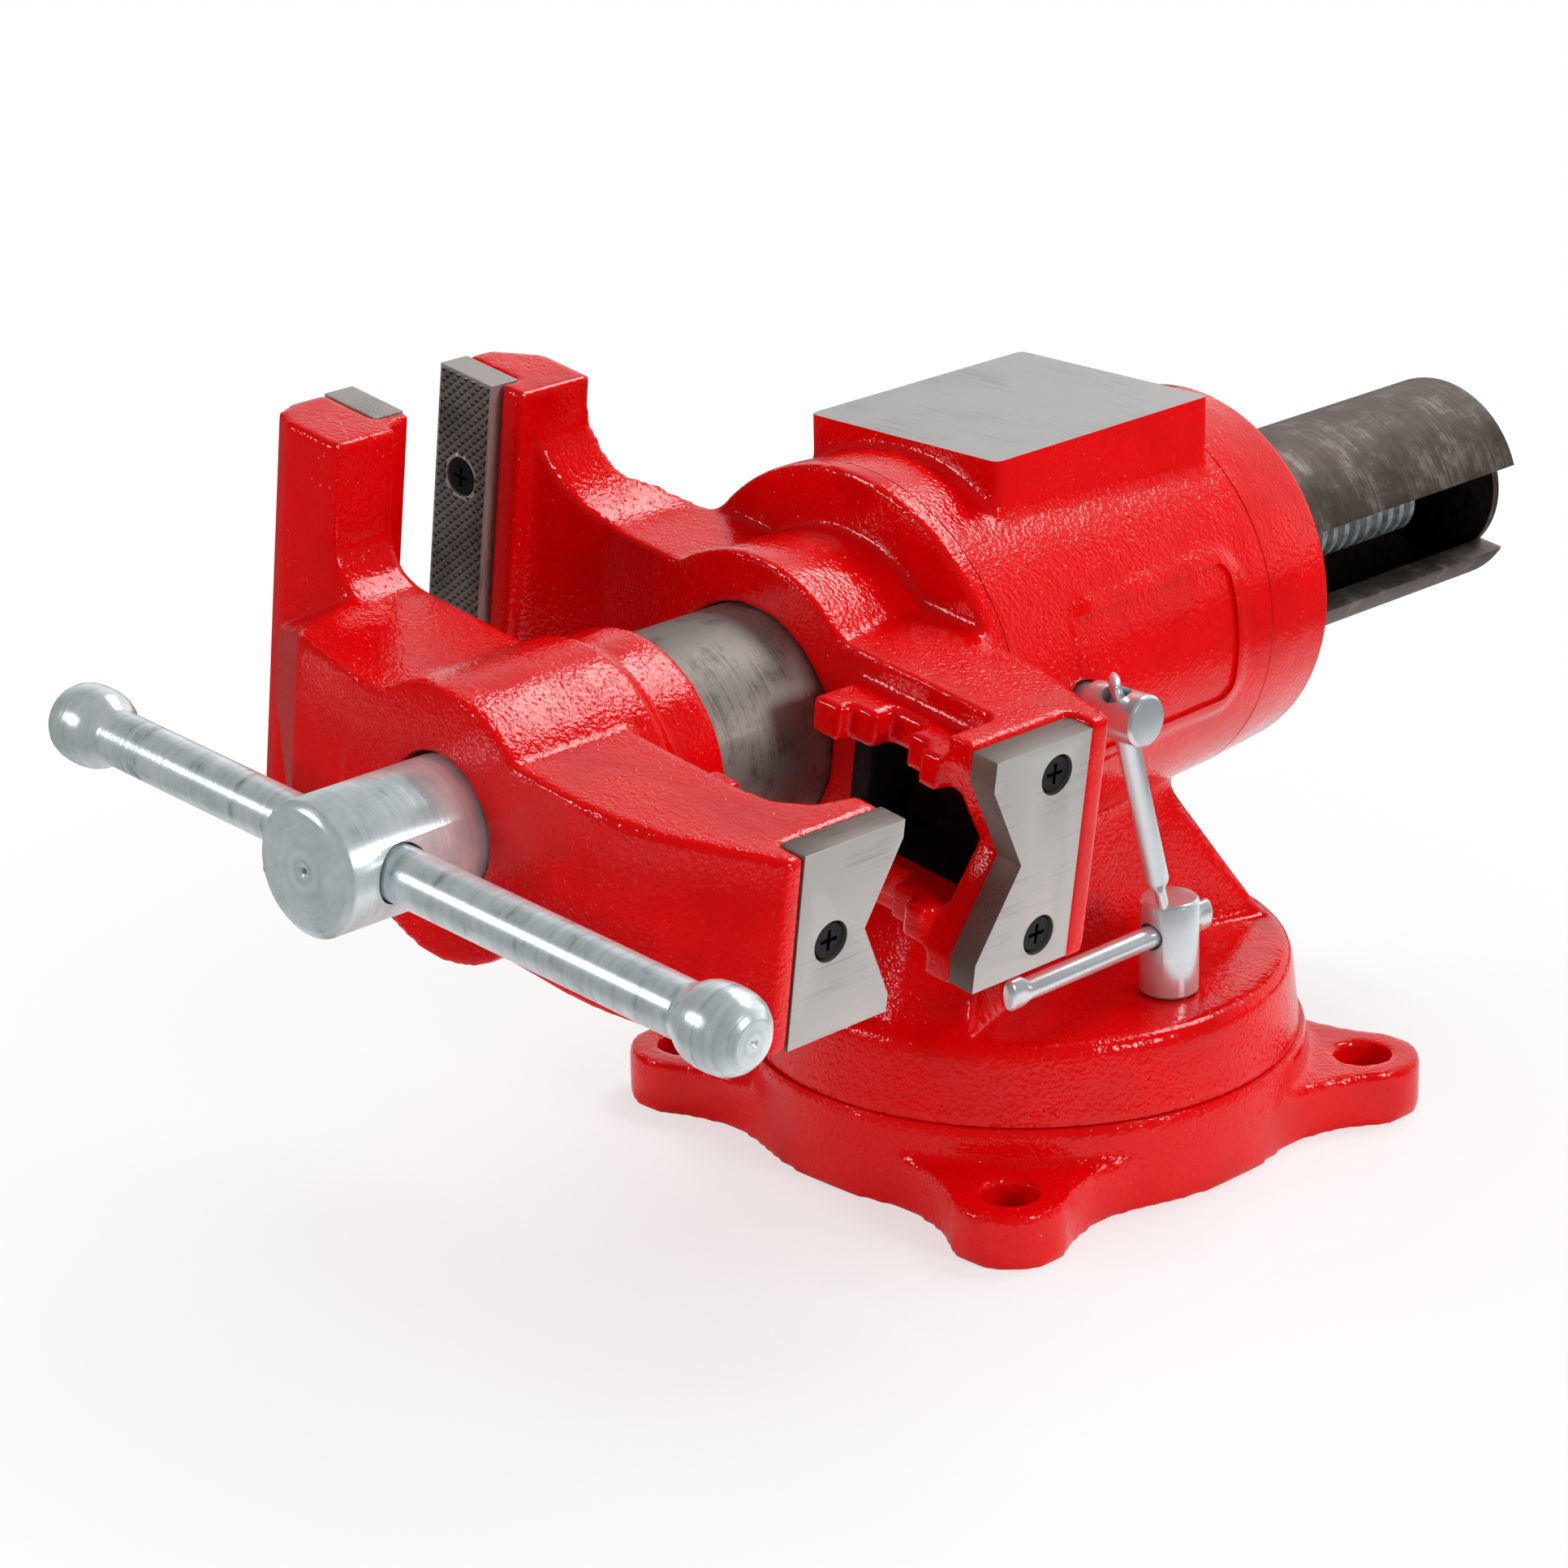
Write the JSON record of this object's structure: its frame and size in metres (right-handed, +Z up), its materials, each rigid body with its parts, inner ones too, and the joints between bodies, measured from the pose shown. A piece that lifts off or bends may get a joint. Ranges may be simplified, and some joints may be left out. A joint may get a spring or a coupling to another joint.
{
  "type": "multipurpose bench vise",
  "caption": "Swivel-base bench vise with a slotted round slide tube and a rotating head that carries flat jaws on one side and V and pipe jaws on the other.",
  "frame": {"origin": "centre of the bolt circle at the underside of the base, on the swivel axis", "axes": "+Z up along the swivel axis, +Y along the screw from the handle towards the end of the slide tube, +X towards the V jaws"},
  "size_m": [0.2508, 0.4344, 0.2226],
  "materials": {
    "red_casting": "glossy red enamel over rough cast iron, anvil top left bare",
    "ground_steel": "surface-ground tool steel, satin",
    "serrated_steel": "hardened steel with a cut cross-hatched face",
    "tube_steel": "turned dark steel with scratches and a film of oil",
    "zinc_plate": "bright bluish zinc plate over turned steel",
    "black_screw": "black oxide",
    "nut_iron": "bare machined cast iron",
    "pad_brass": "bare brass"
  },
  "bodies": {
    "base": {"base_plate": "red_casting"},
    "swivel": {"swivel_body": "red_casting", "swivel_bolt": "zinc_plate", "swivel_washer": "zinc_plate", "base_lock_stud": "zinc_plate", "head_lock_pad": "pad_brass"},
    "base_lock": {"base_lock_nut": "zinc_plate"},
    "base_lock_handle": {"base_lock_bar": "zinc_plate"},
    "head_lock": {"head_lock_screw": "zinc_plate"},
    "head_lock_handle": {"head_lock_bar": "zinc_plate"},
    "head": {"rotating_head": "red_casting", "rear_cap": "red_casting", "screw_nut": "nut_iron", "flat_plate_fixed": "serrated_steel", "v_plate_fixed": "ground_steel", "flat_screws_fixed": "black_screw", "v_screws_fixed": "black_screw"},
    "slide": {"moving_jaw": "red_casting", "slide_tube": "tube_steel", "tube_end_disc": "tube_steel", "flat_plate_moving": "serrated_steel", "v_plate_moving": "ground_steel", "flat_screws_moving": "black_screw", "v_screw_moving": "black_screw"},
    "screw": {"lead_screw": "zinc_plate", "screw_washer": "zinc_plate", "screw_collar": "zinc_plate", "collar_pin": "zinc_plate"},
    "handle": {"tommy_bar": "zinc_plate", "bar_balls": "zinc_plate"}
  },
  "joints": [
    {"name": "base_swivel", "type": "hinge", "parent": "base", "child": "swivel", "pos_m": [0, 0, 0], "axis": [0, 0, 1], "continuous": true},
    {"name": "head_turn", "type": "hinge", "parent": "swivel", "child": "head", "pos_m": [0, 0, 0.142], "axis": [0, 1, 0], "continuous": true},
    {"name": "jaw_slide", "type": "slide", "parent": "head", "child": "slide", "axis": [0, -1, 0], "range_m": [-0.0285, 0.09]},
    {"name": "screw_turn", "type": "hinge", "parent": "slide", "child": "screw", "pos_m": [0, 0, 0.142], "axis": [0, 1, 0], "continuous": true},
    {"name": "handle_slide", "type": "slide", "parent": "screw", "child": "handle", "axis": [0.9975, 0, -0.071], "range_m": [-0.096, 0.074]},
    {"name": "base_lock_turn", "type": "hinge", "parent": "swivel", "child": "base_lock", "pos_m": [0.054, 0, 0.0665], "axis": [0, 0, 1], "range_deg": [-5, 165]},
    {"name": "base_lock_bar_slide", "type": "slide", "parent": "base_lock", "child": "base_lock_handle", "axis": [0, 1, 0], "range_m": [-0.001, 0.047]},
    {"name": "head_lock_turn", "type": "hinge", "parent": "swivel", "child": "head_lock", "pos_m": [0.07, -0.038, 0.142], "axis": [1, 0, 0], "range_deg": [-38, 150]},
    {"name": "head_lock_bar_slide", "type": "slide", "parent": "head_lock", "child": "head_lock_handle", "axis": [0, -0.2807, 0.9598], "range_m": [-0.001, 0.044]}
  ],
  "couplings": [
    {"joint": "screw_turn", "follows": "jaw_slide", "rad_per_m": -1256.6}
  ]
}
